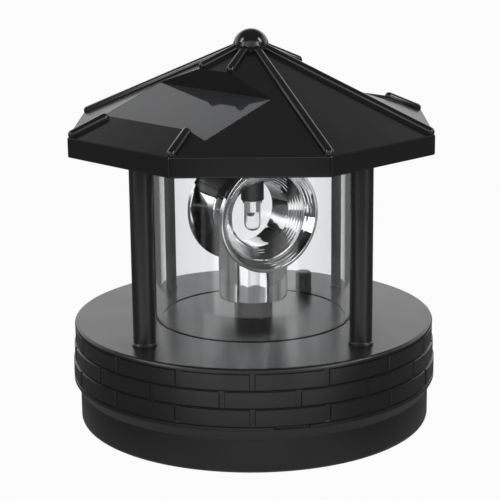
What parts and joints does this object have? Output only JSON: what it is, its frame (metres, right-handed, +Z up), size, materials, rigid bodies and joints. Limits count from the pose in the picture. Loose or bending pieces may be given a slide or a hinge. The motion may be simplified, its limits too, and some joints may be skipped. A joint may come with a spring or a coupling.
{
  "type": "garden lighthouse ornament",
  "caption": "Solar lighthouse beacon head: a brick-banded round base, a clear lens tube between posts, a turning double-bell reflector, and a ribbed octagonal roof with let-in solar panels.",
  "frame": {"origin": "centre of the underside of the base cup, the face that it stands on", "axes": "+Z up along the axis of the lens tube; -Y towards the viewer, so that the middle of one roof edge faces front; +X to the viewer's right; the posts stand on the diagonals and the solar panels lie over the front-left and back-right posts"},
  "size_m": [0.108, 0.108, 0.1159],
  "materials": {
    "black_body": "satin-gloss black moulded plastic",
    "clear_lens": "clear, polished",
    "seal_rubber": "soft black, slightly shiny",
    "mirror_plating": "vacuum-metallised plastic, mirror bright",
    "lamp_clear": "water-clear epoxy",
    "solar_cell": "dark cell under smooth clear resin",
    "board_green": "solder-masked glass fibre",
    "switch_black": "smooth black",
    "gear_nylon": "natural nylon",
    "steel_bright": "ground steel",
    "steel_screw": "zinc-plated steel",
    "motor_case": "plated steel can",
    "brass_bush": "sintered brass",
    "cell_sleeve": "plain plastic sleeve",
    "wire_red": "soft plastic insulation"
  },
  "bodies": {
    "housing": {"base_cup": "black_body", "base_shell": "black_body", "battery_cover": "black_body", "battery": "cell_sleeve", "battery_contacts": "steel_screw", "gear_plate": "gear_nylon", "motor": "motor_case", "shaft_bush": "brass_bush", "idler_pin": "steel_bright", "power_switch": "switch_black", "lens_tube": "clear_lens", "lens_seal_lower": "seal_rubber", "lens_seal_upper": "seal_rubber", "post_back_right": "black_body", "post_back_left": "black_body", "post_front_left": "black_body", "post_front_right": "black_body", "led": "lamp_clear", "led_leads": "steel_bright", "led_holder": "black_body", "circuit_board": "board_green", "roof_ceiling": "black_body", "roof_shell": "black_body", "finial_ball": "black_body", "solar_panel_front": "solar_cell", "solar_panel_rear": "solar_cell", "base_screws": "steel_screw", "roof_screws": "steel_screw", "post_screws": "steel_screw", "gear_plate_screws": "steel_screw", "motor_screws": "steel_screw", "board_screws": "steel_screw", "battery_cover_screw": "steel_screw", "wiring_loom": "wire_red"},
    "rotor": {"reflector": "mirror_plating", "drive_shaft": "steel_bright", "output_gear": "gear_nylon"},
    "idler": {"idler_gear": "gear_nylon"},
    "motor_rotor": {"motor_shaft": "steel_bright", "pinion": "gear_nylon"},
    "button": {"switch_button": "switch_black"}
  },
  "joints": [
    {"name": "reflector_spin", "type": "hinge", "parent": "housing", "child": "rotor", "pos_m": [0, 0, 0.03], "axis": [0, 0, 1], "continuous": true},
    {"name": "idler_spin", "type": "hinge", "parent": "housing", "child": "idler", "pos_m": [-0.01066, 0.01056, 0.0235], "axis": [0, 0, 1], "continuous": true},
    {"name": "motor_spin", "type": "hinge", "parent": "housing", "child": "motor_rotor", "pos_m": [0, 0.018, 0.02], "axis": [0, 0, 1], "continuous": true},
    {"name": "button_press", "type": "slide", "parent": "housing", "child": "button", "axis": [0, 0, -1], "range_m": [0, 0.0015], "stiffness_N_per_m": 300, "springref_m": -0.001}
  ],
  "couplings": [
    {"joint": "idler_spin", "follows": "reflector_spin", "ratio": -4},
    {"joint": "motor_spin", "follows": "reflector_spin", "ratio": 13.333}
  ]
}
